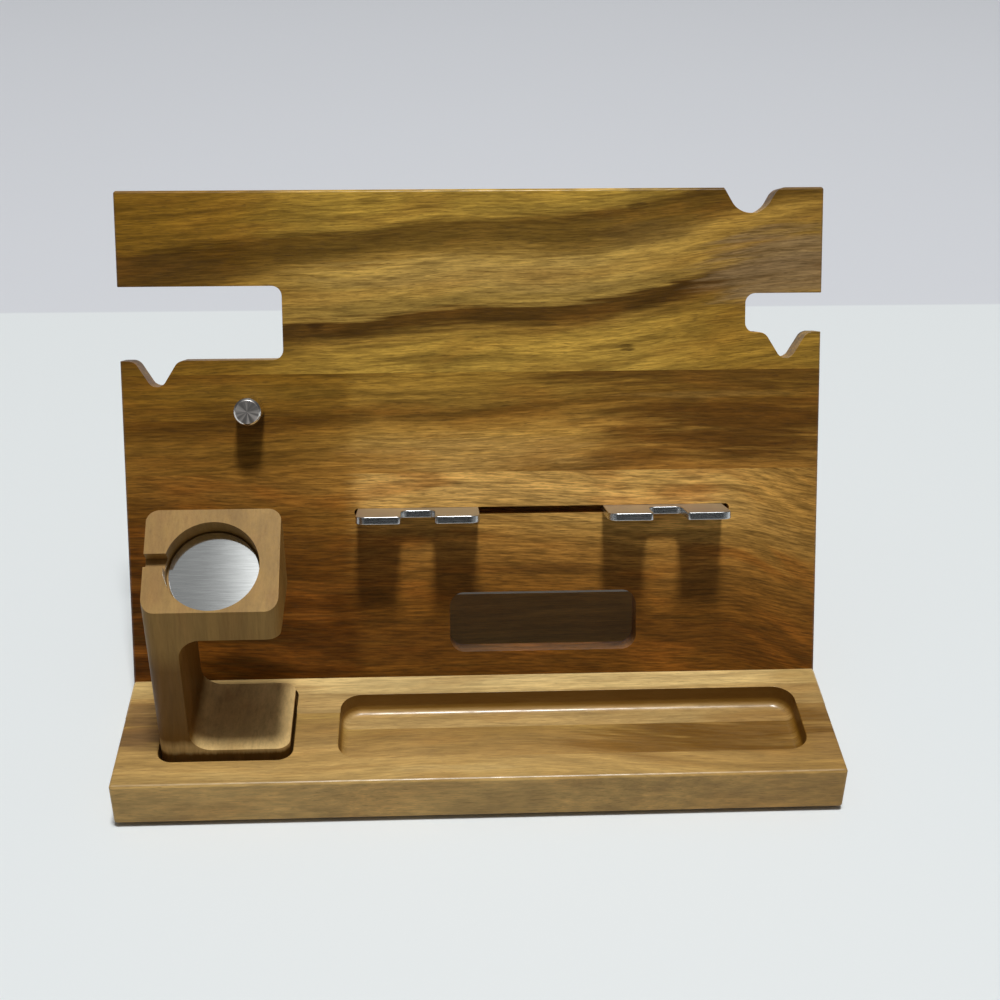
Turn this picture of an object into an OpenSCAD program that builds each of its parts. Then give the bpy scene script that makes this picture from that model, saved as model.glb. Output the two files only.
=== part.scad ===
// Wooden docking station for a bedside table: a base with a catch-all tray, a
// leaning back board with hanging slots and notches, a key peg, two sliding
// phone rests and a lift-out watch stand. Millimetres, +Z up, feet on Z = 0,
// X = 0 and Y = 0 in the middle of the overall width and depth.

/* [Overall] */
// Width of the base and of the back board
board_w = 282; // [274:1:310]
// Angle that the back board leans back from upright
lean = 24; // [18:1:27]
// Size of the eased outer edges
edge_break = 0.8; // [0.4:0.1:1.2]

/* [Base] */
// Depth of the base from front to back
base_d = 121; // [114:1:150]
// Thickness of the base
base_t = 19; // [18:0.5:24]
// From the front of the base back to the board, measured on the top
board_setback = 62.5; // [60:0.5:70]
// How far the board's lower edge is let into the base
groove_depth = 6; // [4:0.5:7]

/* [Tray] */
// Length of the catch-all tray
tray_l = 184.5; // [120:0.5:190]
// Width of the tray, front to back
tray_w = 38; // [24:0.5:40]
// Depth of the tray
tray_depth = 9; // [6:0.5:12]
// Radius of the tray's corners, seen from above
tray_corner_r = 8.5; // [6:0.5:11]
// Radius where the tray's walls run into its floor
tray_floor_r = 3.5; // [2:0.5:5]
// From the tray to the right side of the base
tray_side_margin = 12; // [9:0.5:20]
// From the tray to the front of the base
tray_front_margin = 13.3; // [10:0.1:16]

/* [Back board] */
// Thickness of the back board
board_t = 13; // [12:0.5:16]
// Height of the board along its slope, above the base
board_h = 198; // [190:1:230]
// Width of the topmost of the three glued boards
top_stave_h = 72.5; // [70:0.5:74]
// Width of the middle one of the three glued boards
middle_stave_h = 40.5; // [36:0.5:44]

/* [Hanging slots] */
// Length of the slot in the left side
left_slot_l = 64.8; // [40:0.1:80]
// Width of the slot in the left side
left_slot_h = 29.3; // [20:0.1:34]
// From the board's top edge down to the left slot's lower edge
left_slot_drop = 66.7; // [58:0.1:70]
// Length of the slot in the right side
right_slot_l = 31; // [28:0.1:50]
// Width of the slot in the right side
right_slot_h = 15.7; // [10:0.1:24]
// From the board's top edge down to the right slot's lower edge
right_slot_drop = 57.6; // [48:0.1:60]
// Radius of the slots' inner corners
slot_corner_r = 4; // [2:0.5:5]

/* [Notches] */
// Depth of the two notches below the slots
notch_depth = 10.4; // [8:0.1:12]
// Angle of a notch's flanks from the board's upright
notch_flank = 32; // [25:1:38]
// Radius at the bottom of a notch
notch_bottom_r = 4; // [2.5:0.5:5]
// Radius where a notch's flank meets the edge
notch_shoulder_r = 4.5; // [2:0.5:5]
// From the side of the board to a notch's middle
notch_inset = 14.2; // [13:0.1:15]
// Depth of the wide notch in the top edge
top_notch_depth = 10; // [7:0.5:13]
// Angle of the wide notch's flanks from the board's upright
top_notch_flank = 30; // [25:1:36]
// Radius at the bottom of the wide notch
top_notch_bottom_r = 9; // [6:0.5:10]
// Radius of the wide notch's outer shoulder
top_notch_shoulder_r = 5.5; // [3:0.5:8]
// From the right side of the board to the wide notch's middle
top_notch_inset = 29.2; // [26:0.1:40]

/* [Phone rests] */
// Length of the groove that both rests slide in
rest_groove_l = 153.6; // [140:0.1:160]
// Depth of that groove
rest_groove_depth = 9; // [7:0.5:9.5]
// From the groove to the right side of the board
rest_groove_margin = 36.6; // [30:0.1:45]
// From the top of the lowest glued board down to the groove's middle
rest_groove_drop = 16; // [12:0.1:24]
// Thickness of a rest's metal
rest_t = 3; // [2:0.1:3.5]
// Width of a rest
rest_w = 49.2; // [44:0.1:56]
// How far a rest stands out from the board
rest_reach = 23; // [18:0.5:26]
// Radius of a rest's outer front corners
rest_corner_r = 4; // [1.5:0.5:6]
// Radius of the prongs' corners beside the cable gap
rest_inner_r = 1.2; // [0.6:0.1:3]
// Width of the cable gap in a rest
rest_gap_w = 13.6; // [10:0.1:20]
// Depth of the cable gap in a rest
rest_gap_depth = 16.5; // [10:0.5:17]
// Radius of the cable gap's inner corners
rest_gap_r = 2.5; // [1.5:0.5:5]
// Room between a rest and the groove, above and below it
rest_clearance = 0.1; // [0.05:0.05:0.3]
// Room between a rest's back edge and the bottom of the groove
rest_back_gap = 0.4; // [0.3:0.1:1]
// Room between the left rest and the left end of the groove
left_end_gap = 1.3; // [1:0.1:4]
// Room between the right rest and the right end of the groove
right_end_gap = 3; // [1:0.1:6]

/* [Cable opening] */
// Width of the opening that lets the cables through
cable_w = 77; // [50:1:80]
// Height of the cable opening, along the slope
cable_h = 25; // [16:0.5:26]
// Height of the opening's upper edge, along the slope
cable_top_v = 35.1; // [34:0.1:44]
// Radius of the cable opening's corners
cable_corner_r = 6; // [3:0.5:8]

/* [Key peg] */
// Diameter of the key peg
peg_d = 11; // [8:0.5:12]
// How far the peg stands out from the board
peg_l = 12.5; // [10:0.5:20]
// Size of the chamfer round the peg's end
peg_chamfer = 0.9; // [0.4:0.1:1.5]
// From the left side of the board to the peg's middle
peg_inset = 51.2; // [42:0.1:60]
// From the top of the middle glued board down to the peg
peg_drop = 14; // [12:0.5:22]

/* [Watch stand] */
// Width of the watch stand
stand_w = 50; // [46:0.1:52]
// Depth of the watch stand
stand_d = 40; // [38:0.1:42]
// Depth of the watch face, seen from above
stand_face_run = 34.8; // [34:0.1:37]
// Height of its front, with the part inside the pocket
stand_front_h = 77.4; // [76:0.1:90]
// Tilt of the watch face from level
stand_tilt = 32.5; // [28:0.1:36]
// Width of its upright column
stand_column_w = 12.1; // [10:0.1:16]
// Thickness of its foot
stand_foot_h = 11.8; // [10.5:0.1:14]
// Height of the side opening
stand_gap_h = 52.9; // [46:0.1:53]
// Radius of the side opening's inner corners
stand_gap_r = 8.5; // [5:0.5:12]
// Radius of the stand's upright corners
stand_corner_r = 5; // [3:0.5:6]
// From the left side of the base to the stand
stand_side_margin = 17; // [14:0.1:18]
// From the front of the base to the stand
stand_front_margin = 16.4; // [15:0.1:18]
// Depth of the pocket that holds the stand
pocket_depth = 9; // [6:0.5:10]
// Room between the stand and its pocket, at the sides and the back
pocket_clearance = 1.1; // [0.5:0.1:1.5]
// Room between the stand and the front of its pocket
pocket_front_gap = 3; // [1:0.1:4]

/* [Charger recess] */
// Diameter of the recess in the watch face
recess_d = 35.4; // [28:0.1:36]
// Depth of the recess
recess_depth = 9.3; // [7:0.1:10]
// From the front edge of the watch face up to the recess's middle
recess_rise = 18.4; // [18.4:0.1:22]
// Width of the cord groove
cord_groove_w = 5.3; // [4:0.1:7]
// Depth of the cord groove
cord_groove_depth = 5; // [3:0.5:8]
// How far the cord groove lies above the recess's middle
cord_groove_rise = 2.6; // [0:0.1:4]
// Diameter of the metal disc in the recess
disc_d = 33.8; // [24:0.1:34]
// Thickness of the metal disc
disc_t = 1; // [0.8:0.1:2]
// Thickness of the tape under the disc
tape_t = 0.3; // [0.2:0.1:0.6]

/* [Fixings and feet] */
// Diameter of the screws
screw_d = 4; // [3:0.5:5]
// Diameter of the screws' heads
screw_head_d = 8; // [6:0.5:9]
// Length of the screws that hold the board to the base
board_screw_l = 30; // [24:1:36]
// Thickness of base left under a board screw's head
screw_seat_t = 7; // [5:0.5:8]
// From the sides of the board to its outer screws
screw_inset = 21; // [14:0.5:28]
// From the cable opening to the screws beside it
screw_flank = 16; // [8:0.5:22]
// Length of the screw that holds the peg
peg_screw_l = 20; // [18:1:21]
// Diameter of the feet
foot_d = 16; // [10:0.5:20]
// Thickness of the feet
foot_t = 1.6; // [1:0.1:3]
// From the sides of the base to the feet's middles
foot_inset = 14; // [11:0.5:24]

/* [Hidden] */

$fn = 72;
past = 1;                 // cutters run this far past a face
screw_fit = 0.05;         // radial room round a screw's shank
head_fit = 0.25;          // radial room round a screw's head
drive_w = 0.9;            // width of a screw's cross recess
drive_share = 0.55;       // length of the cross recess, as a share of the head
tape_inset = 1;           // the tape is this much smaller all round than the disc
tip_share = 1.5;          // length of a wood screw's point, in shank diameters
tip_r = 0.3;              // radius of the point's end
peg_screw_end = 0.4;      // chamfer on the end of the peg's screw
overcut = 0.02;           // rounds of a notch reach this far past their tangents
head_ease = 0.1;          // the head's rounds start this far outside the stand's sides

base_top = foot_t + base_t;
strip_d = base_d / 3;
board_back_run = (board_h - edge_break) * sin(lean) + board_t * cos(lean);
overall_d = board_setback + board_back_run;
front_y = -overall_d / 2;
low_stave_top = board_h - top_stave_h - middle_stave_h;
middle_stave_top = board_h - top_stave_h;
board_foot = -groove_depth;
left_slot_v = board_h - left_slot_drop;
right_slot_v = board_h - right_slot_drop;

tray_x = board_w / 2 - tray_side_margin - tray_l / 2;
tray_y = front_y + tray_front_margin + tray_w / 2;
stand_x = -board_w / 2 + stand_side_margin + stand_w / 2;
stand_y = front_y + stand_front_margin;

rest_groove_x = board_w / 2 - rest_groove_margin - rest_groove_l / 2;
rest_groove_v = low_stave_top - rest_groove_drop;
rest_groove_h = rest_t + 2 * rest_clearance;
left_rest_x = rest_groove_x - rest_groove_l / 2 + left_end_gap + rest_w / 2;
right_rest_x = rest_groove_x + rest_groove_l / 2 - right_end_gap - rest_w / 2;
cable_v = cable_top_v - cable_h / 2;
peg_x = -board_w / 2 + peg_inset;
peg_v = middle_stave_top - peg_drop;
screw_head_h = (screw_head_d - screw_d) / 2;
screw_seat_v = board_foot - screw_seat_t;
screw_xs = [
    -board_w / 2 + screw_inset,
    rest_groove_x - cable_w / 2 - screw_flank,
    rest_groove_x + cable_w / 2 + screw_flank,
    board_w / 2 - screw_inset
];

wood = [0.62, 0.44, 0.22];
pale_wood = [0.70, 0.53, 0.33];
steel = [0.75, 0.76, 0.77];
bright_metal = [0.83, 0.84, 0.85];
dark_pad = [0.16, 0.16, 0.16];

// ---- shapes that repeat ----

// A block with all its edges eased, standing on Z = 0, centred in X
module eased_block(size, ease) {
    intersection() {
        translate([-size.x / 2, 0, 0])
            linear_extrude(size.z) eased_rectangle([size.x, size.y], ease);
        translate([-size.x / 2, size.y, 0])
            rotate([90, 0, 0]) linear_extrude(size.y) eased_rectangle([size.x, size.z], ease);
        translate([-size.x / 2, 0, 0])
            rotate([90, 0, 90]) linear_extrude(size.x) eased_rectangle([size.y, size.z], ease);
    }
}

module eased_rectangle(size, ease) {
    polygon([
        [ease, 0], [size.x - ease, 0], [size.x, ease], [size.x, size.y - ease],
        [size.x - ease, size.y], [ease, size.y], [0, size.y - ease], [0, ease]
    ]);
}

// A rectangle with round corners, centred
module round_rectangle(size, r) {
    square([size.x - 2 * r, size.y], center = true);
    square([size.x, size.y - 2 * r], center = true);
    for (sx = [-1, 1], sy = [-1, 1])
        translate([sx * (size.x / 2 - r), sy * (size.y / 2 - r)]) circle(r);
}

// A straight slot with round ends, centred
module round_slot(length, height) {
    square([length - height, height], center = true);
    for (side = [-1, 1])
        translate([side * (length - height) / 2, 0]) circle(height / 2);
}

// What a router takes out below an edge at Y = 0: a V with a round bottom and
// round shoulders. A shoulder of 0 leaves that corner sharp.
module notch_cut(depth, flank, bottom_r, left_shoulder, right_shoulder) {
    half_w = (depth + bottom_r * (1 / sin(flank) - 1)) * tan(flank);
    arc_y = -depth + bottom_r;
    tangent = [bottom_r * cos(flank), arc_y - bottom_r * sin(flank)];
    translate([0, arc_y]) circle(bottom_r + overcut);
    polygon([
        [-half_w, 0], [-tangent.x, tangent.y], [tangent.x, tangent.y], [half_w, 0],
        [half_w, past], [-half_w, past]
    ]);
    translate([half_w, 0]) shoulder_cut(right_shoulder, flank);
    mirror([1, 0]) translate([half_w, 0]) shoulder_cut(left_shoulder, flank);
}

// What an arc that is tangent to the edge and to a flank leaves of their
// corner, with some of the notch beside it
module shoulder_cut(r, flank) {
    reach = r * tan((90 - flank) / 2);
    low = -reach * cos(flank);
    if (r > 0)
        difference() {
            polygon([
                [-reach, low], [-reach * sin(flank), low], [reach, -r], [reach, past],
                [-reach, past]
            ]);
            translate([reach, -r]) circle(r + overcut);
        }
}

// A pocket that opens at Z = 0, with round corners and its floor run into the
// walls: straight runs both ways and a turned corner at each end
module filleted_pocket(length, width, depth, corner_r, floor_r) {
    for (turn = [0, 90]) {
        along = (turn == 0 ? length : width) - 2 * corner_r;
        across = turn == 0 ? width : length;
        rotate([0, 0, turn])
            translate([-along / 2, 0, 0])
                rotate([90, 0, 90]) linear_extrude(along) {
                    pocket_section(across / 2, depth, floor_r);
                    mirror([1, 0]) pocket_section(across / 2, depth, floor_r);
                }
    }
    for (sx = [-1, 1], sy = [-1, 1])
        translate([sx * (length / 2 - corner_r), sy * (width / 2 - corner_r), 0])
            rotate_extrude() pocket_section(corner_r, depth, floor_r);
}

module pocket_section(half_w, depth, floor_r) {
    translate([0, -depth]) square([half_w - floor_r, depth + past]);
    translate([0, -depth + floor_r]) square([half_w, depth - floor_r + past]);
    translate([half_w - floor_r, -depth + floor_r]) circle(floor_r);
}

// A countersunk screw: its head's face on Z = 0, its end of radius end_r
// towards +Z after a taper of the given length
module screw(length, taper, end_r) {
    difference() {
        rotate_extrude()
            polygon([
                [0, 0], [screw_head_d / 2, 0], [screw_d / 2, screw_head_h],
                [screw_d / 2, length - taper], [end_r, length], [0, length]
            ]);
        for (turn = [0, 90])
            rotate([0, 0, turn])
                translate([-drive_share * screw_head_d / 2, -drive_w / 2, -past])
                    cube([drive_share * screw_head_d, drive_w, past + screw_head_h]);
    }
}

// The hole for such a screw, from the head's face upwards
module countersunk_hole(length) {
    shank_r = screw_d / 2 + screw_fit;
    cylinder(r = shank_r, h = length);
    cylinder(r1 = screw_head_d / 2 + screw_fit, r2 = shank_r, h = screw_head_h);
}

// Puts a shape in the board's own frame: X across, Y into the board from its
// front face, Z up its slope from the top of the base
module on_board() {
    translate([0, front_y + board_setback, base_top])
        rotate([-lean, 0, 0]) children();
}

// ---- base ----

module base_strip(place) {
    color(wood)
        difference() {
            intersection() {
                translate([0, front_y, foot_t]) eased_block([board_w, base_d, base_t], edge_break);
                translate([-board_w / 2 - past, front_y + place * strip_d, 0])
                    cube([board_w + 2 * past, strip_d, base_top + past]);
            }
            translate([tray_x, tray_y, base_top])
                filleted_pocket(tray_l, tray_w, tray_depth, tray_corner_r, tray_floor_r);
            stand_pocket();
            board_groove();
            board_screw_holes();
        }
}

module stand_pocket() {
    length = stand_w + 2 * pocket_clearance;
    width = pocket_front_gap + stand_d + pocket_clearance;
    translate([stand_x, stand_y - pocket_front_gap + width / 2, base_top - pocket_depth])
        linear_extrude(pocket_depth + past)
            round_rectangle([length, width], stand_corner_r + pocket_clearance);
}

module board_groove() {
    on_board()
        translate([-board_w / 2 - past, 0, board_foot])
            cube([board_w + 2 * past, board_t, groove_depth + board_t]);
}

// Countersunk holes through the base, with the heads sunk well under it
module board_screw_holes() {
    on_board()
        for (x = screw_xs)
            translate([x, board_t / 2, screw_seat_v - screw_head_h]) {
                countersunk_hole(screw_head_h + screw_seat_t + past);
                translate([0, 0, -base_t]) cylinder(r = screw_head_d / 2 + head_fit, h = base_t);
            }
}

// ---- back board ----

module board_outline() {
    left = -board_w / 2;
    right = board_w / 2;
    difference() {
        translate([left, board_foot]) square([board_w, board_h + groove_depth]);
        // open slots, let in from the sides
        translate([left, left_slot_v]) side_slot(left_slot_l, left_slot_h);
        translate([right, right_slot_v]) mirror([1, 0]) side_slot(right_slot_l, right_slot_h);
        // notches
        translate([left + notch_inset, left_slot_v]) side_notch();
        translate([right - notch_inset, right_slot_v]) side_notch();
        translate([right - top_notch_inset, board_h])
            notch_cut(top_notch_depth, top_notch_flank, top_notch_bottom_r, 0, top_notch_shoulder_r);
        translate([rest_groove_x, cable_v]) round_rectangle([cable_w, cable_h], cable_corner_r);
    }
}

module side_slot(length, height) {
    translate([-past, 0]) square([length + past - slot_corner_r, height]);
    translate([0, slot_corner_r]) square([length, height - 2 * slot_corner_r]);
    for (y = [slot_corner_r, height - slot_corner_r])
        translate([length - slot_corner_r, y]) circle(slot_corner_r);
}

module side_notch() {
    notch_cut(notch_depth, notch_flank, notch_bottom_r, notch_shoulder_r, notch_shoulder_r);
}

// One of the boards that are glued edge to edge, from one height to another
module board_stave(low, high) {
    color(wood)
        on_board()
            difference() {
                intersection() {
                    translate([0, 0, board_foot - edge_break])
                        eased_block([board_w, board_t, board_h - board_foot + edge_break], edge_break);
                    translate([0, board_t, 0])
                        rotate([90, 0, 0]) linear_extrude(board_t) board_outline();
                    translate([-board_w / 2 - past, -past, low])
                        cube([board_w + 2 * past, board_t + 2 * past, high - low]);
                }
                rest_groove();
                peg_screw_hole();
                board_screw_pilots();
            }
}

// Blind groove with round ends, let into the front of the board
module rest_groove() {
    translate([rest_groove_x, rest_groove_depth, rest_groove_v])
        rotate([90, 0, 0])
            linear_extrude(rest_groove_depth + past) round_slot(rest_groove_l, rest_groove_h);
}

module peg_screw_hole() {
    translate([peg_x, board_t, peg_v])
        rotate([90, 0, 0]) countersunk_hole(board_t + past);
}

module board_screw_pilots() {
    for (x = screw_xs)
        translate([x, board_t / 2, board_foot - past])
            cylinder(r = screw_d / 2 + screw_fit, h = board_screw_l - screw_seat_t + past);
}

module back_board_screws() {
    color(steel)
        on_board()
            for (x = screw_xs)
                translate([x, board_t / 2, screw_seat_v - screw_head_h])
                    screw(board_screw_l, tip_share * screw_d, tip_r);
}

// ---- key peg ----

module key_peg() {
    color(bright_metal)
        on_board()
            translate([peg_x, 0, peg_v])
                rotate([90, 0, 0])
                    difference() {
                        rotate_extrude()
                            polygon([
                                [0, 0], [peg_d / 2, 0], [peg_d / 2, peg_l - peg_chamfer],
                                [peg_d / 2 - peg_chamfer, peg_l], [0, peg_l]
                            ]);
                        translate([0, 0, -past])
                            cylinder(r = screw_d / 2 + screw_fit, h = peg_screw_l - board_t + 2 * past);
                    }
}

module key_peg_screw() {
    color(steel)
        on_board()
            translate([peg_x, board_t, peg_v])
                rotate([90, 0, 0]) screw(peg_screw_l, peg_screw_end, screw_d / 2 - peg_screw_end);
}

// ---- phone rests ----

// Plan of a rest: two prongs with round fronts either side of the cable gap,
// and a web whose back edge runs in the groove
module rest_plan() {
    web_y = -rest_reach + rest_gap_depth;
    back_y = rest_groove_depth - rest_back_gap;
    translate([-rest_w / 2, web_y]) square([rest_w, back_y - web_y]);
    for (side = [0, 1])
        mirror([side, 0]) {
            translate([rest_gap_w / 2, -rest_reach]) rest_prong();
            translate([rest_gap_w / 2 - rest_gap_r, web_y - rest_gap_r])
                difference() {
                    square(rest_gap_r);
                    circle(rest_gap_r);
                }
        }
}

// One prong, from its corner beside the gap, run a little into the web
module rest_prong() {
    prong_w = (rest_w - rest_gap_w) / 2;
    prong_l = rest_gap_depth + past;
    outer = prong_w - rest_corner_r;
    translate([rest_inner_r, 0]) square([outer - rest_inner_r, prong_l]);
    translate([0, rest_inner_r]) square([outer, prong_l - rest_inner_r]);
    translate([rest_inner_r, rest_corner_r]) square([prong_w - rest_inner_r, prong_l - rest_corner_r]);
    translate([rest_inner_r, rest_inner_r]) circle(rest_inner_r);
    translate([outer, rest_corner_r]) circle(rest_corner_r);
}

module phone_rest(x) {
    color(bright_metal)
        on_board()
            translate([x, 0, rest_groove_v - rest_t / 2]) linear_extrude(rest_t) rest_plan();
}

// ---- watch stand ----

module on_stand() {
    translate([stand_x, stand_y, base_top - pocket_depth]) children();
}

// Puts a shape on the tilted watch face: Y up the slope from its front edge
module on_watch_face() {
    on_stand() translate([0, 0, stand_front_h]) rotate([stand_tilt, 0, 0]) children();
}

// An upright block whose head is cut by a second one that stands square to
// the watch face: its end gives the face, its back the head's sloping back
module watch_stand() {
    face_l = stand_face_run / cos(stand_tilt);
    head_l = face_l + stand_front_h;
    head_w = stand_w + 2 * head_ease;
    deep = stand_front_h + stand_d;
    color(pale_wood)
        difference() {
            intersection() {
                on_stand()
                    translate([0, stand_d / 2, 0])
                        linear_extrude(deep) round_rectangle([stand_w, stand_d], stand_corner_r);
                on_watch_face()
                    translate([0, face_l - head_l / 2, -deep])
                        linear_extrude(deep) round_rectangle([head_w, head_l], stand_corner_r);
            }
            on_stand() stand_side_opening();
            on_watch_face() {
                translate([0, recess_rise, -recess_depth])
                    cylinder(d = recess_d, h = recess_depth + past);
                cord_groove();
            }
        }
}

// Leads a charger's cord out of the recess to the left
module cord_groove() {
    low_edge = recess_rise + cord_groove_rise - cord_groove_w / 2;
    translate([-stand_w / 2 - past, low_edge, -cord_groove_depth])
        cube([stand_w / 2 + past, cord_groove_w, cord_groove_depth + past]);
}

// Opens the stand to the right and leaves the column on the left
module stand_side_opening() {
    length = stand_w - stand_column_w;
    translate([-stand_w / 2 + stand_column_w, stand_d + past, stand_foot_h])
        rotate([90, 0, 0])
            linear_extrude(stand_d + 2 * past) {
                translate([stand_gap_r, 0]) square([length + past - stand_gap_r, stand_gap_h]);
                translate([0, stand_gap_r]) square([length, stand_gap_h - 2 * stand_gap_r]);
                for (y = [stand_gap_r, stand_gap_h - stand_gap_r])
                    translate([stand_gap_r, y]) circle(stand_gap_r);
            }
}

module watch_disc_tape() {
    color(dark_pad)
        on_watch_face()
            translate([0, recess_rise, -recess_depth]) cylinder(d = disc_d - 2 * tape_inset, h = tape_t);
}

module watch_disc() {
    color(steel)
        on_watch_face()
            translate([0, recess_rise, -recess_depth + tape_t]) cylinder(d = disc_d, h = disc_t);
}

// ---- feet ----

module foot(side, end) {
    y = end < 0 ? front_y + foot_inset : front_y + base_d - foot_inset;
    color(dark_pad)
        translate([side * (board_w / 2 - foot_inset), y, 0]) cylinder(d = foot_d, h = foot_t);
}

base_strip(0);  // base_front_strip
base_strip(1);  // base_middle_strip
base_strip(2);  // base_rear_strip
board_stave(board_foot, low_stave_top);  // back_board_lower
board_stave(low_stave_top, middle_stave_top);  // back_board_middle
board_stave(middle_stave_top, board_h);  // back_board_top
back_board_screws();
key_peg();
key_peg_screw();
phone_rest(left_rest_x);  // phone_rest_left
phone_rest(right_rest_x);  // phone_rest_right
watch_stand();
watch_disc();
watch_disc_tape();
foot(-1, -1);  // foot_front_left
foot(1, -1);  // foot_front_right
foot(-1, 1);  // foot_rear_left
foot(1, 1);  // foot_rear_right
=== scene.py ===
from math import cos, radians, sin

import bmesh
import bpy
from mathutils import Matrix, Vector


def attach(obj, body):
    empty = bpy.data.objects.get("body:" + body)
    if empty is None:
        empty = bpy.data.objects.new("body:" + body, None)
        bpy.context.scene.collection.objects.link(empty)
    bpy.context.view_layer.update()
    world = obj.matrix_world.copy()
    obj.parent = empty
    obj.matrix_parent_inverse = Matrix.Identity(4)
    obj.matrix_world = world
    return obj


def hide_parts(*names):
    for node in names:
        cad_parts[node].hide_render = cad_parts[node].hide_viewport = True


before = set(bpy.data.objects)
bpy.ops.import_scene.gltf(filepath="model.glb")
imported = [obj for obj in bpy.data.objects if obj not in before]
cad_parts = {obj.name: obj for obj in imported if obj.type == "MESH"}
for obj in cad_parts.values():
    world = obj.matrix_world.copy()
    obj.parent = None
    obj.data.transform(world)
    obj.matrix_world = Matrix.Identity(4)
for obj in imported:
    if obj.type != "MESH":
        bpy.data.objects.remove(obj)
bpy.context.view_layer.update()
bpy.ops.object.select_all(action="DESELECT")
scene = bpy.context.scene
mm = 0.001

# the board's own frame: where its front face meets the base, and its lean
board = {
    "foot": (0.0, -14.792, 20.6),  # mm
    "lean": radians(24),
    "seams": (85.0, 125.5),  # glue lines, mm up the slope
    "left": -141.0, "width": 282.0,
}
base = {"front": -77.292, "top": 20.6, "strip": 40.333}  # mm


class Wire:
    # one output socket; Python's operators on it add Math nodes
    def __init__(self, tree, socket):
        self.tree = tree
        self.socket = socket

    def maths(self, operation, *values):
        node = self.tree.nodes.new("ShaderNodeMath")
        node.operation = operation
        for slot, value in zip(node.inputs, values):
            plug(self.tree, value, slot)
        return Wire(self.tree, node.outputs[0])

    def __add__(self, other):
        return self.maths("ADD", self, other)

    def __sub__(self, other):
        return self.maths("SUBTRACT", self, other)

    def __rsub__(self, other):
        return self.maths("SUBTRACT", other, self)

    def __mul__(self, other):
        return self.maths("MULTIPLY", self, other)

    def __truediv__(self, other):
        return self.maths("DIVIDE", self, other)

    def __pow__(self, other):
        return self.maths("POWER", self, other)

    __radd__ = __add__
    __rmul__ = __mul__


def plug(tree, value, slot):
    if isinstance(value, Wire):
        tree.links.new(value.socket, slot)
    elif isinstance(value, (tuple, list)) and slot.type == "RGBA":
        slot.default_value = (*value[:3], 1)
    else:
        slot.default_value = value


class Graph:
    # adds nodes to one node tree, of a material or of the world
    def __init__(self, tree):
        self.tree = tree

    def node(self, kind, settings=None, sockets=None, output=""):
        node = self.tree.nodes.new(kind)
        for key, value in (settings or {}).items():
            if key == "stops":
                self.setStops(node.color_ramp, value)
            else:
                setattr(node, key, value)
        for key, value in (sockets or {}).items():
            slot = next(s for s in node.inputs if key in (s.identifier, s.name))
            plug(self.tree, value, slot)
        named = [out for out in node.outputs if output in (out.identifier, out.name)]
        return Wire(self.tree, (named or node.outputs)[0])

    def setStops(self, ramp, stops):
        while len(ramp.elements) > 1:
            ramp.elements.remove(ramp.elements[-1])
        for count, (place, colour) in enumerate(stops):
            stop = ramp.elements[0] if count == 0 else ramp.elements.new(place)
            stop.position = place
            stop.color = (*colour, 1)

    def split(self, vector):
        node = self.node("ShaderNodeSeparateXYZ", {}, {"Vector": vector}).socket.node
        return [Wire(self.tree, out) for out in node.outputs]

    def noise(self, x, y, z, detail=2.0, rough=0.5):
        vector = self.node("ShaderNodeCombineXYZ", {}, {"X": x, "Y": y, "Z": z})
        values = {"Vector": vector, "Scale": 1.0, "Detail": detail, "Roughness": rough}
        return self.node("ShaderNodeTexNoise", {}, values)

    def between(self, value, low, high, start=0.0, end=1.0):
        values = {"Value": value, "From Min": low, "From Max": high, "To Min": start,
                  "To Max": end}
        return self.node("ShaderNodeMapRange", {"interpolation_type": "SMOOTHSTEP"}, values)

    def mix(self, share, first, second, how="MIX"):
        settings = {"data_type": "RGBA", "blend_type": how}
        values = {"Factor_Float": share, "A_Color": first, "B_Color": second}
        return self.node("ShaderNodeMix", settings, values, "Result_Color")

    def vary(self, colour, value, low, high, amount):
        # darker where the value is low, brighter where it is high
        return self.scale(colour, self.between(value, low, high, 1 - amount, 1 + amount))

    def cover(self, colour, value, low, high, share, other):
        # another colour where the value is high
        return self.mix(self.between(value, low, high, 0, share), colour, other)

    def facing(self, vector, axis):
        return self.node("ShaderNodeVectorMath", {"operation": "DOT_PRODUCT"},
                         {"Vector": vector, "Vector_001": axis}, "Value")

    def scale(self, colour, factor):
        return self.node("ShaderNodeVectorMath", {"operation": "SCALE"},
                         {"Vector": colour, "Scale": factor})

    def ramp(self, value, stops):
        return self.node("ShaderNodeValToRGB", {"stops": stops}, {"Fac": value})

    def bump(self, height, distance, strength):
        return self.node("ShaderNodeBump", {}, {"Height": height, "Distance": distance,
                                                "Strength": strength})


class Finish(Graph):
    # a material with one Principled shader
    def __init__(self, name):
        self.material = bpy.data.materials.new(name)
        self.material.use_nodes = True
        self.shader = self.material.node_tree.nodes["Principled BSDF"]
        super().__init__(self.material.node_tree)

    def place(self, turn=0.0, shift=(0, 0, 0)):
        # object coordinates in mm, turned about X and then moved
        spot = self.node("ShaderNodeTexCoord", {}, {}, "Object")
        return self.split(self.node("ShaderNodeMapping", {}, {
            "Vector": spot, "Scale": (1000, 1000, 1000), "Rotation": (turn, 0, 0),
            "Location": shift}))

    def set(self, **values):
        for key, value in values.items():
            plug(self.tree, value, self.shader.inputs[key.replace("_", " ")])
        return self.material


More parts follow.
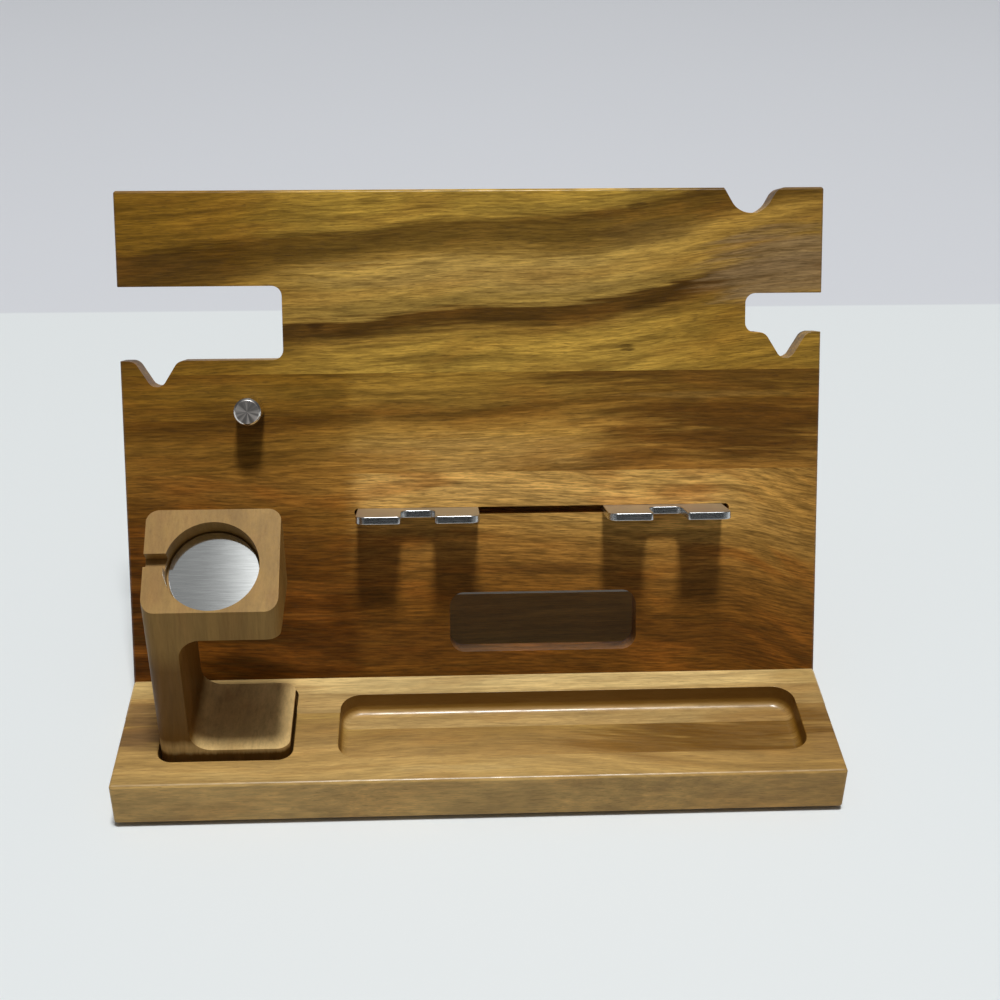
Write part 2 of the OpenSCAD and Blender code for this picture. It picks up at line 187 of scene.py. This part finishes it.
# the wood's markings: size of a cell in mm along, across and into the grain, the noise's
# detail and roughness, and which way the seed moves it
markings = {
    "sway": ((80, 30, 40), 2, 0.45, (1, 0, 1)),
    "feather": ((30, 1.5, 5), 3, 0.60, (1, 0, 0)),
    "cloud": ((55, 5, 14), 2, 0.55, (-1, 0, 1)),
    "smoke": ((45, 2.8, 9), 4, 0.62, (1, 0, 1)),
    "warmth": ((40, 9, 11), 2, 0.50, (1, 0, -1)),
    "streak": ((11, 0.90, 3), 3, 0.65, (1, -1, 0)),
    "rings": ((90, 1.1, 1.6), 2, 0.65, (1, 0, 1)),
    "fibre": ((7, 0.40, 0.5), 2, 0.65, (0, 1, 0)),
    "pores": ((4.4, 0.34, 0.36), 1, 0.50, (1, 0, 1)),
}


def sawnWood(name, wood):
    finish = Finish(name)
    lean = wood["lean"]
    turn = Matrix.Rotation(lean, 3, "X")
    axes = dict(zip("xyz", finish.place(lean, turn @ (Vector(wood["origin"]) * -1))))
    along, across, deep = (axes[letter] for letter in wood["grain"])

    def marking(kind, height):
        size, detail, rough, moves = markings[kind]
        spot = [value / cell + wood["seed"] * move
                for value, cell, move in zip((along, height, deep), size, moves)]
        return finish.noise(*spot, detail, rough)

    def blot(colour, place, size, ragged, low, high, depth, tone):
        # an oval with a ragged edge
        aside = (along - place[0]) / size[0]
        above = (across - place[1]) / size[1]
        spread = aside * aside + above * above + ragged
        return finish.mix(finish.between(spread, low, high, depth, 0), colour, tone)

    # growth lines bend slowly; the fibres follow them less than halfway
    shift = 0
    for start, end, rise in wood["bends"]:
        shift = finish.between(along, start, end, 0, rise) + shift
    bent = across - shift
    flow = across - shift * 0.4
    sway = marking("sway", bent) - 0.5
    feather = marking("feather", flow) - 0.5
    line = bent + sway * wood["sway"] + feather * wood["feather"]

    # bands across the board, tone and painted shade and light along it, then clouds and patches
    low, high = wood["span"]
    colour = finish.ramp((line - low) / (high - low), wood["bands"])
    left, right = wood["reach"]
    length = (along + feather * wood["ragged"] - left) / (right - left)
    colour = finish.mix(1.0, colour, finish.ramp(length, wood["toneAndPaintedLight"]), "MULTIPLY")
    cloud = marking("cloud", bent)
    colour = finish.vary(colour, cloud, 0.3, 0.7, wood["cloud"])
    ragged = feather * 2 + (cloud - 0.5) * 2
    for x, height, width, tall, depth, tone in wood["patches"]:
        colour = blot(colour, (x, height), (width, tall), ragged, 0.1, 1.3, depth, tone)
    smoke = marking("smoke", flow)
    colour = finish.cover(colour, smoke, 0.50, 0.74, wood["smoke"], wood["dark"])
    warmth = marking("warmth", bent)
    colour = finish.cover(colour, warmth, 0.48, 0.70, wood["warmth"], wood["warm"])

    # silky streaks, growth lines, fibres, pores and knots
    streak = marking("streak", flow)
    colour = finish.vary(colour, streak, 0.3, 0.7, wood["streak"])
    colour = finish.cover(colour, marking("rings", line), 0.46, 0.70, wood["rings"], wood["dark"])
    fibre = marking("fibre", flow)
    colour = finish.vary(colour, fibre, 0.25, 0.75, wood["fibre"])
    pores = finish.between(marking("pores", flow), 0.60, 0.69)
    colour = finish.mix(pores * wood["pores"], colour, wood["pore"])
    ragged = feather * 4 + (streak - 0.5) * 4
    for x, height, size, depth in wood["knots"]:
        colour = blot(colour, (x, height), (size, size * 0.45), ragged, -0.2, 1.8, depth,
                      wood["pore"])

    normal = finish.node("ShaderNodeNewGeometry", {}, {}, "Normal")
    if "routed" in wood:  # upright faces: painted light makes them paler outside the routed box, painted shade darker in it
        left, right, low, high = wood["routed"]
        fade = 0.5  # mm
        within = (finish.between(along, left - fade, left)
                  * finish.between(across, low - fade, low)
                  * finish.between(along, right, right + fade, 1, 0)
                  * finish.between(across, high, high + fade, 1, 0))
        upright = finish.between(finish.split(normal)[2], 0.4, 0.95, 1, 0)
        colour = finish.scale(colour, upright * (wood["sides"] - 1) + 1)
        colour = finish.mix(upright * within * 0.9, colour, wood["walls"])

    if wood["edgeHighlight"]:  # painted highlight: a coat on rounded edges that face up and forward, toward the lamp
        edge = (finish.facing(normal, (0, sin(lean), cos(lean)))
                * finish.facing(normal, (0, -cos(lean), sin(lean))))
        edgeHighlight = (finish.between(edge, 0.12, 0.40, 0, wood["edgeHighlight"])
                 * finish.between(streak, 0.35, 0.62, 0.25, 1))
        finish.set(Coat_Weight=edgeHighlight, Coat_Roughness=0.24)

    height = fibre * 0.35 - pores * 0.6 + streak * 0.25
    rough = wood["rough"] + fibre * 0.10 + pores * 0.15
    return finish.set(
        Base_Color=colour, Roughness=rough, Normal=finish.bump(height, wood["relief"] * mm, 0.6),
        IOR=wood["gloss"])


def editCopy(node, name):
    # a copy of a frame node's mesh, with its flat faces whole again, open for edits
    piece = bpy.data.objects.new(name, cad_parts[node].data.copy())
    scene.collection.objects.link(piece)
    bpy.ops.object.select_all(action="DESELECT")
    bpy.context.view_layer.objects.active = piece
    piece.select_set(True)
    bpy.ops.mesh.customdata_custom_splitnormals_clear()
    bpy.ops.object.mode_set(mode="EDIT")
    bpy.ops.mesh.select_mode(type="EDGE")
    bpy.ops.mesh.select_all(action="SELECT")
    bpy.ops.mesh.remove_doubles(threshold=0.00001)
    bpy.ops.mesh.dissolve_limited(angle_limit=radians(0.4))
    return piece


def selectEdges(piece, wanted):
    mesh = bmesh.from_edit_mesh(piece.data)
    for edge in mesh.edges:
        edge.select_set(False)
    for edge in mesh.edges:
        if wanted(edge):
            edge.select_set(True)
    mesh.select_flush_mode()
    bmesh.update_edit_mesh(piece.data)


def easeEdges(piece, settings, isSeam):
    sharp = radians(30)
    selectEdges(piece, lambda edge: edge.is_manifold and edge.calc_face_angle(0) > sharp
                and not isSeam(edge))
    bpy.ops.mesh.bevel(offset=settings["ease"] * mm, segments=settings["steps"], profile=0.5,
                       affect="EDGES", clamp_overlap=True)


def finishPiece(piece, node, body, material, smooth=40):
    bpy.ops.object.mode_set(mode="OBJECT")
    bpy.ops.object.shade_smooth_by_angle(angle=radians(smooth))
    weighted = piece.modifiers.new("weighted", "WEIGHTED_NORMAL")
    weighted.keep_sharp = True
    bpy.ops.object.modifier_apply(modifier="weighted")
    piece.data.materials.clear()
    piece.data.materials.append(material)
    piece.select_set(False)
    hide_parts(node)
    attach(piece, body)


def noSeam(edge):
    return False  # for pieces without a glue line


def slopeOf(point):
    # a point's place up the board's slope, mm
    y = point.y / mm - board["foot"][1]
    z = point.z / mm - board["foot"][2]
    return y * sin(board["lean"]) + z * cos(board["lean"])


def onSeam(places, seams, near=0.05):
    # whether all of an edge's ends lie on one glue line
    return any(all(abs(place - seam) < near for place in places) for seam in seams)


def boardSeam(edge, short=0.3):
    # short edges stay sharp too
    heights = [slopeOf(vert.co) for vert in edge.verts]
    return onSeam(heights, board["seams"]) or edge.calc_length() < short * mm


def baseSeam(edge):
    rows = [vert.co.y / mm - base["front"] for vert in edge.verts]
    return onSeam(rows, (base["strip"], 2 * base["strip"]))


def greys(*stops):
    return [(place, (tone, tone, tone)) for place, tone in stops]


def shades(*stops):
    # shares of a wood's colour; the darker, the redder
    return [(place, (tone, tone ** 1.3, tone ** 2)) for place, tone in stops]


boardGrain = {
    "origin": board["foot"], "lean": board["lean"], "grain": "xzy",
    "reach": (board["left"], board["left"] + board["width"]), "knots": (), "patches": (),
    "dark": (0.100, 0.048, 0.007), "warm": (0.34, 0.135, 0.018),
    "pore": (0.055, 0.024, 0.004), "rough": 0.34, "relief": 0.05, "gloss": 1.27,
    "sway": 4.5, "feather": 9.0, "smoke": 0.50, "warmth": 0.22, "streak": 0.28, "rings": 0.40,
    "fibre": 0.12, "pores": 0.38, "ragged": 20, "cloud": 0.22, "edgeHighlight": 0.9,
    "ease": 0.5, "steps": 3,
}

topBoard = boardGrain | {
    "seed": 3.1, "span": (106, 200),
    "bends": ((30, 150, 20), (-60, 10, 6), (-150, -60, 8)),
    "knots": ((-63, 144, 3.4, 0.9), (62, 135, 3.0, 0.7), (66, 191, 4.0, 0.6)),
    "patches": (
        (122, 167, 34, 17, 0.82, (0.35, 0.226, 0.100)),
        (72, 181, 26, 6, 0.60, (0.20, 0.112, 0.026)),
        (-124, 166, 34, 8, 0.65, (0.12, 0.060, 0.011)),
        (-66, 144, 13, 5, 0.50, (0.12, 0.062, 0.012)),
        (0, 165, 66, 8, 0.45, (0.59, 0.375, 0.104)),
        (-20, 131, 20, 2, 0.60, (0.26, 0.150, 0.025))),
    # the dim left part is partly painted shade, the bright length right of it a painted pool of
    # light
    "toneAndPaintedLight": shades((0.00, 0.52), (0.16, 0.60), (0.30, 0.97), (0.72, 1.0), (0.86, 0.76),
                    (1.00, 0.78)),
    "bands": (
        (0.00, (0.54, 0.328, 0.056)), (0.20, (0.54, 0.324, 0.054)), (0.25, (0.35, 0.197, 0.034)),
        (0.29, (0.12, 0.057, 0.009)), (0.335, (0.10, 0.046, 0.007)), (0.36, (0.48, 0.298, 0.064)),
        (0.54, (0.62, 0.385, 0.084)), (0.585, (0.33, 0.190, 0.036)), (0.62, (0.21, 0.117, 0.019)),
        (0.70, (0.19, 0.102, 0.015)), (0.735, (0.50, 0.306, 0.050)), (0.82, (0.54, 0.330, 0.050)),
        (1.00, (0.50, 0.300, 0.046))),
}

middleBoard = boardGrain | {
    "seed": 11.7, "span": (76, 126), "warmth": 0.35, "smoke": 0.45,
    "bends": ((-20, 120, 9), (-140, -40, 4), (60, 140, -6)),
    "patches": (
        # the pale patch in the middle, x -52 to 52 mm, is partly painted sheen
        (0, 93, 52, 10, 0.65, (0.59, 0.345, 0.094)),
        (108, 102, 62, 15, 0.92, (0.12, 0.046, 0.006)),
        (66, 91, 26, 5, 0.60, (0.19, 0.084, 0.016)),
        (-105, 96, 44, 11, 0.50, (0.16, 0.072, 0.010)),
        (98, 126, 84, 9, 0.92, (0.16, 0.072, 0.011)),
        (-92, 119, 40, 5, 0.50, (0.28, 0.155, 0.022)),
        (96, 115.5, 44, 1.6, 0.60, (0.36, 0.198, 0.044))),
    # the dim left third is partly painted shade, the bright length right of it a painted pool of
    # light
    "toneAndPaintedLight": shades((0.00, 0.58), (0.25, 0.63), (0.315, 0.75), (0.33, 0.94), (0.42, 1.0),
                    (0.62, 0.96), (0.75, 0.84), (1.00, 0.78)),
    "bands": (
        (0.00, (0.42, 0.198, 0.039)), (0.18, (0.54, 0.292, 0.064)), (0.38, (0.59, 0.335, 0.070)),
        (0.50, (0.42, 0.219, 0.039)), (0.58, (0.23, 0.110, 0.017)), (0.66, (0.42, 0.230, 0.039)),
        (0.80, (0.43, 0.240, 0.038)), (1.00, (0.39, 0.216, 0.031))),
}

lowerBoard = boardGrain | {
    "seed": 23.3, "span": (-6, 86), "warmth": 0.5, "warm": (0.36, 0.120, 0.014),
    "bends": ((-10, 90, -8), (100, 150, -22), (-60, -140, 8)), "streak": 0.38, "smoke": 0.55,
    "patches": (
        (-95, 60, 36, 12, 0.5, (0.17, 0.068, 0.010)), (40, 12, 130, 16, 0.5, (0.13, 0.046, 0.006)),
        (30, 44, 26, 2.5, 0.6, (0.14, 0.056, 0.010)), (84, 76, 20, 3, 0.4, (0.42, 0.16, 0.03)),
        (-100, 78, 40, 6, 0.4, (0.26, 0.115, 0.022))),
    # the dim left third is partly painted shade, the bright length right of it a painted pool of
    # light
    "toneAndPaintedLight": shades((0.00, 0.42), (0.22, 0.47), (0.31, 0.53), (0.345, 0.98), (0.60, 1.0),
                    (0.84, 1.0), (0.92, 0.80), (1.00, 0.66)),
    # the bright rows near the top, about 68 to 86 mm up, are partly painted sheen
    "bands": (
        (0.00, (0.19, 0.073, 0.009)), (0.40, (0.21, 0.082, 0.010)), (0.55, (0.30, 0.130, 0.021)),
        (0.70, (0.40, 0.192, 0.038)), (0.80, (0.56, 0.308, 0.072)), (0.92, (0.76, 0.445, 0.125)),
        (1.00, (0.68, 0.390, 0.102))),
}

boards = (
    ("back_board_top", "topBoard", topBoard),
    ("back_board_middle", "middleBoard", middleBoard),
    ("back_board_lower", "lowerBoard", lowerBoard),
)
for node, name, wood in boards:
    piece = editCopy(node, name)
    easeEdges(piece, wood, boardSeam)
    finishPiece(piece, node, "dock", sawnWood(name + "Wood", wood))
print("back board done")

baseGrain = boardGrain | {
    "origin": (0.0, base["front"], base["top"]), "lean": 0.0, "grain": "xyz",
    "warm": (0.42, 0.21, 0.050), "dark": (0.26, 0.146, 0.044), "pore": (0.10, 0.050, 0.014),
    "smoke": 0.40, "warmth": 0.25, "rings": 0.30, "feather": 6.0, "streak": 0.15, "gloss": 1.36,
    "cloud": 0.18, "fibre": 0.09, "pores": 0.28, "edgeHighlight": 0.75,
    # the upright outer faces are made paler as painted light, the tray's walls darker as painted
    # shade
    "routed": (-57, 129, 12, 53.5), "sides": 1.46, "walls": (0.185, 0.082, 0.004),
    "ease": 0.7, "steps": 4,
}
frontStrip = baseGrain | {
    "seed": 31.9, "span": (0, 41), "bends": ((-70, -20, 6), (10, 120, -16)),
    "patches": ((-134, 34, 12, 15, 0.90, (0.16, 0.086, 0.032)),
                (136, 28, 9, 22, 0.6, (0.30, 0.170, 0.055)),
                (92, 29, 56, 17, 0.95, (0.15, 0.066, 0.006)),
                (40, 24, 50, 9, 0.4, (0.30, 0.155, 0.034)),
                (-10, 6, 26, 3, 0.5, (0.62, 0.43, 0.165)),
                (-96, 5, 18, 3, 0.4, (0.60, 0.41, 0.15))),
    "toneAndPaintedLight": shades((0.00, 0.98), (0.18, 1.04), (0.55, 1.0), (0.85, 0.90), (1.00, 0.82)),
    "bands": (
        (0.00, (0.47, 0.300, 0.098)), (0.20, (0.50, 0.315, 0.102)), (0.33, (0.43, 0.262, 0.080)),
        (0.45, (0.47, 0.292, 0.094)), (0.60, (0.37, 0.222, 0.066)), (0.80, (0.31, 0.180, 0.048)),
        (0.90, (0.40, 0.246, 0.064)), (1.00, (0.34, 0.202, 0.054))),
}
middleStrip = baseGrain | {
    "seed": 41.3, "span": (40, 81), "bends": ((-60, 90, 2),),
    "patches": ((-136, 44, 10, 6, 0.85, (0.20, 0.108, 0.036)),
                (112, 44, 22, 8, 0.50, (0.30, 0.160, 0.040)),
                (134, 58, 12, 5, 0.50, (0.42, 0.265, 0.080))),
    "toneAndPaintedLight": shades((0.00, 0.86), (0.30, 1.0), (0.80, 1.0), (1.00, 0.88)),
    "bands": (
        (0.00, (0.46, 0.300, 0.110)), (0.24, (0.48, 0.312, 0.112)), (0.31, (0.66, 0.470, 0.190)),
        (0.55, (0.68, 0.490, 0.205)), (1.00, (0.46, 0.285, 0.080))),
}
rearStrip = baseGrain | {
    "seed": 53.7, "span": (80, 122), "bends": ((-80, 60, 7),),
    "toneAndPaintedLight": shades((0.00, 0.95), (0.40, 1.0), (1.00, 0.90)),
    "bands": (
        (0.00, (0.38, 0.225, 0.060)), (0.50, (0.45, 0.275, 0.078)), (1.00, (0.36, 0.210, 0.055))),
}
strips = (
    ("base_front_strip", "frontStrip", frontStrip),
    ("base_middle_strip", "middleStrip", middleStrip),
    ("base_rear_strip", "rearStrip", rearStrip),
)
for node, name, wood in strips:
    piece = editCopy(node, name)
    easeEdges(piece, wood, baseSeam)
    finishPiece(piece, node, "dock", sawnWood(name + "Wood", wood))
print("base done")

standWood = boardGrain | {
    "origin": (-99.0, -60.9, 11.6), "lean": 0.0, "grain": "zxy", "seed": 67.1,
    "span": (-26, 26), "reach": (0, 100), "bends": ((0, 90, 4),), "sway": 5.0, "feather": 3.0,
    "dark": (0.16, 0.085, 0.024), "warm": (0.34, 0.170, 0.050), "pore": (0.10, 0.052, 0.014),
    "smoke": 0.3, "warmth": 0.3, "streak": 0.06, "rings": 0.12, "fibre": 0.03, "pores": 0.10,
    "rough": 0.42, "gloss": 1.25, "relief": 0.03, "ragged": 2, "cloud": 0.10, "edgeHighlight": 0,
    "ease": 0.45, "steps": 3,
    # painted light: the bright band on the foot's top, 11 to 13.5 mm up
    # painted shade: dark on the foot's front down in the pocket, and on the column under the head
    "toneAndPaintedLight": shades((0.00, 0.36), (0.095, 0.40), (0.112, 1.6), (0.135, 1.6), (0.17, 0.43),
                    (0.50, 0.47), (0.60, 0.88), (0.76, 0.94), (0.80, 0.88), (0.95, 0.88)),
    "bands": (
        (0.00, (0.370, 0.222, 0.066)), (0.30, (0.418, 0.255, 0.078)),
        (0.55, (0.358, 0.213, 0.062)), (0.80, (0.418, 0.255, 0.078)),
        (1.00, (0.375, 0.223, 0.067))),
}
piece = editCopy("watch_stand", "watchStand")
easeEdges(piece, standWood, noSeam)
finishPiece(piece, "watch_stand", "watch_block", sawnWood("standWood", standWood))
print("watch stand done")


def brushedMetal(name, metal):
    finish = Finish(name)
    x, y, z = finish.place(metal["turn"])
    length, width = metal["brush"]
    lines = finish.noise(x / length, y / width, z / width, 3, 0.6)
    length, width = metal["cloud"]
    cloud = finish.noise(x / length, y / width, z / width, 3, 0.5)
    speck = metal["speck"]
    specks = finish.noise(x / speck, y / speck, z / speck, 2, 0.5)
    colour = finish.vary(metal["colour"], lines, 0.3, 0.7, metal["streak"])
    colour = finish.cover(colour, specks, 0.68, 0.76, 0.3, metal["worn"])
    rough = metal["rough"] + lines * metal["roughSpread"] + cloud * metal["roughSpread"] * 0.5
    if "satin" in metal:  # flat sides that face one way are less polished
        normal = finish.node("ShaderNodeNewGeometry", {}, {}, "Normal")
        rough = rough + finish.between(finish.facing(normal, metal["satin"]), 0.90, 0.98, 0, 0.15)
    return finish.set(Base_Color=colour, Metallic=1.0, Roughness=rough,
                      Normal=finish.bump(lines + cloud * 0.5, metal["relief"] * mm, 0.5))


metalGrain = {"cloud": (11, 8), "speck": 0.8}  # mm

polished = metalGrain | {
    "colour": (0.63, 0.65, 0.66), "worn": (0.45, 0.43, 0.40), "turn": board["lean"],
    "satin": (0, sin(board["lean"]), cos(board["lean"])),
    "brush": (20, 0.25), "streak": 0.05, "rough": 0.23, "roughSpread": 0.05, "relief": 0.002,
    "ease": 0.3, "steps": 3,
}
restSteel = brushedMetal("restSteel", polished)
for side in ("left", "right"):
    piece = editCopy("phone_rest_" + side, side + "PhoneRest")
    easeEdges(piece, polished, noSeam)
    finishPiece(piece, "phone_rest_" + side, side + "_rest", restSteel)


def spunMetal(name, metal):
    # polished sides, and a turned end with painted reflection wedges round its middle
    finish = Finish(name)
    turn = Matrix.Rotation(metal["turn"], 3, "X")
    x, y, z = finish.place(metal["turn"], turn @ (Vector(metal["middle"]) * -1))
    radius = (x * x + z * z + 0.01) ** 0.5
    wedge = metal["wedge"]
    reflectionWedges = finish.noise(x / radius * wedge, z / radius * wedge, radius / 30, 2, 0.5)
    cuts = finish.noise(radius / metal["cut"], 0, 0, 2, 0.6)
    end = -metal["length"]
    onEnd = finish.between(y, end + 0.06, end + 0.16, 1, 0)
    colour = finish.mix(onEnd, metal["colour"],
                        finish.vary(metal["face"], reflectionWedges, 0.35, 0.65, metal["streak"]))
    rough = finish.between(onEnd, 0, 1, metal["rough"], metal["faceRough"]) + reflectionWedges * 0.05
    return finish.set(Base_Color=colour, Metallic=1.0, Roughness=rough,
                      Normal=finish.bump(cuts * onEnd, 0.004 * mm, 0.6))


peg = {
    "colour": (0.72, 0.70, 0.67), "face": (0.62, 0.58, 0.55), "turn": board["lean"],
    "middle": (-89.8, 30.56, 122.46), "length": 12.5, "wedge": 1.9, "cut": 0.12,
    "streak": 0.45, "rough": 0.10, "faceRough": 0.42, "ease": 0.2, "steps": 3,
}
piece = editCopy("key_peg", "keyPeg")
easeEdges(piece, peg, noSeam)
finishPiece(piece, "key_peg", "dock", spunMetal("pegSteel", peg))

disc = metalGrain | {
    "colour": (0.70, 0.72, 0.71), "worn": (0.50, 0.51, 0.52), "turn": radians(-32.5),
    "brush": (9, 0.18), "streak": 0.10, "rough": 0.055, "roughSpread": 0.03, "relief": 0.001,
    "ease": 0.15, "steps": 2,
}
piece = editCopy("watch_disc", "watchDisc")
easeEdges(piece, disc, noSeam)
finishPiece(piece, "watch_disc", "watch_block", brushedMetal("discMetal", disc))

screwMetal = brushedMetal("screwMetal", metalGrain | {
    "colour": (0.58, 0.57, 0.53), "worn": (0.30, 0.29, 0.27), "turn": 0.0,
    "brush": (3, 0.6), "streak": 0.08, "rough": 0.32, "roughSpread": 0.15, "relief": 0.004})
for node, name in (("back_board_screws", "boardScrews"), ("key_peg_screw", "pegScrew")):
    piece = editCopy(node, name)
    finishPiece(piece, node, "dock", screwMetal, 30)
print("metal done")


def softPad(name, pad):
    finish = Finish(name)
    x, y, z = finish.place()
    cell, speck = pad["cell"], pad["speck"]
    cells = finish.noise(x / cell, y / cell, z / cell, 3, 0.6)
    specks = finish.noise(x / speck, y / speck, z / speck, 3, 0.6)
    colour = finish.cover(pad["colour"], specks, 0.5, 0.8, 0.5, pad["dust"])
    return finish.set(Base_Color=colour, Roughness=0.75 + cells * 0.2,
                      Normal=finish.bump(cells, 0.05 * mm, 0.6))


foot = {
    "cell": 0.35, "speck": 2.5, "colour": (0.035, 0.034, 0.033), "dust": (0.10, 0.095, 0.09),
    "ease": 0.35, "steps": 3,
}
footRubber = softPad("footRubber", foot)
for node in ("foot_front_left", "foot_front_right", "foot_rear_left", "foot_rear_right"):
    words = node.split("_")
    piece = editCopy(node, words[1] + words[2].capitalize() + "Foot")
    easeEdges(piece, foot, noSeam)
    finishPiece(piece, node, "dock", footRubber)

foamTape = softPad("foamTape", {
    "cell": 0.2, "speck": 2.5, "colour": (0.05, 0.05, 0.05), "dust": (0.09, 0.09, 0.09)})
piece = editCopy("watch_disc_tape", "discTape")
finishPiece(piece, "watch_disc_tape", "watch_block", foamTape)
print("tape and feet done")

studio = {
    "table": (0.79, 0.83, 0.84), "beyond": (0.69, 0.71, 0.75), "edge": 0.385,  # m
    "bounce": (0.45, 0.45, 0.45),  # what the floor gives back to the object
    "floorSize": 12.0, "mottle": 400,  # m and mm
    "lampPlace": (0.13, -0.34, 4.0), "lampAim": (0, 0, 0.1), "lampSize": (0.5, 0.6),
    "lampPower": 128.0,
}
bpy.ops.mesh.primitive_plane_add(size=studio["floorSize"])
floor = bpy.context.object
floor.name = "floor"
paint = Finish("floorPaint")
x, y, z = paint.place()
mottle = paint.noise(x / studio["mottle"], y / studio["mottle"], z, 3, 0.5)
edge = studio["edge"] / mm
colour = paint.mix(paint.between(y, edge - 2, edge + 1), studio["table"], studio["beyond"])
seen = 0
for path in ("Is Camera Ray", "Is Glossy Ray", "Is Transmission Ray"):
    ray = paint.node("ShaderNodeLightPath", {}, {}, path)
    seen = ray.maths("MAXIMUM", ray, seen)
colour = paint.mix(seen, studio["bounce"], colour)
floor.data.materials.append(paint.set(Base_Color=colour, Roughness=0.6 + mottle * 0.1))

lampData = bpy.data.lights.new("ceilingLamp", "AREA")
lampData.shape = "RECTANGLE"
lampData.size, lampData.size_y = studio["lampSize"]
lampData.energy = studio["lampPower"]
lamp = bpy.data.objects.new("ceilingLamp", lampData)
lamp.location = studio["lampPlace"]
aim = Vector(studio["lampAim"]) - lamp.location
lamp.rotation_euler = aim.to_track_quat("-Z", "Y").to_euler()
scene.collection.objects.link(lamp)

# a room with a pale horizon and a soft ceiling, a dim front and a bright panel above:
# which way each lies, how many degrees from there it begins and is full, and its level
room = {
    "front": ((0.0, -0.94, 0.34), 25, 11, 0.08),
    "panel": ((0.063, -0.172, 0.983), 12, 9.2, 5.6),
    "heights": greys((0.00, 0.22), (0.12, 0.18), (0.30, 0.07), (0.75, 0.10), (0.92, 0.26)),
}
sky = bpy.data.worlds.new("studioSky")
scene.world = sky
sky.use_nodes = True
graph = Graph(sky.node_tree)
ray = graph.node("ShaderNodeTexCoord", {}, {}, "Generated")
glow = graph.ramp(graph.split(ray)[2], room["heights"])
level = 1
for axis, outer, inner, strength in (room["front"], room["panel"]):
    near = graph.facing(ray, axis)
    level = graph.between(near, cos(radians(outer)), cos(radians(inner)), 1, strength) * level
plug(graph.tree, graph.scale(glow, level), sky.node_tree.nodes["Background"].inputs["Color"])

view = {
    "place": (-0.0168182, -0.5099743, 0.4192007), "yaw": radians(2.9396),
    "pitch": radians(32.2488), "roll": radians(0.7346), "lens": 54.8073, "sensor": 36,  # mm
}
forward = Vector((sin(view["yaw"]) * cos(view["pitch"]), cos(view["yaw"]) * cos(view["pitch"]),
                  -sin(view["pitch"])))
right = Vector((cos(view["yaw"]), -sin(view["yaw"]), 0))
up = right.cross(forward)
turnedRight = right * cos(view["roll"]) + up * sin(view["roll"])
turnedUp = up * cos(view["roll"]) - right * sin(view["roll"])
cameraData = bpy.data.cameras.new("camera")
cameraData.sensor_width = view["sensor"]
cameraData.lens = view["lens"]
camera = bpy.data.objects.new("camera", cameraData)
camera.matrix_world = Matrix.Translation(view["place"]) @ Matrix(
    (turnedRight, turnedUp, -forward)).transposed().to_4x4()
scene.collection.objects.link(camera)
scene.camera = camera
scene.view_settings.view_transform = "Standard"
print("studio done")
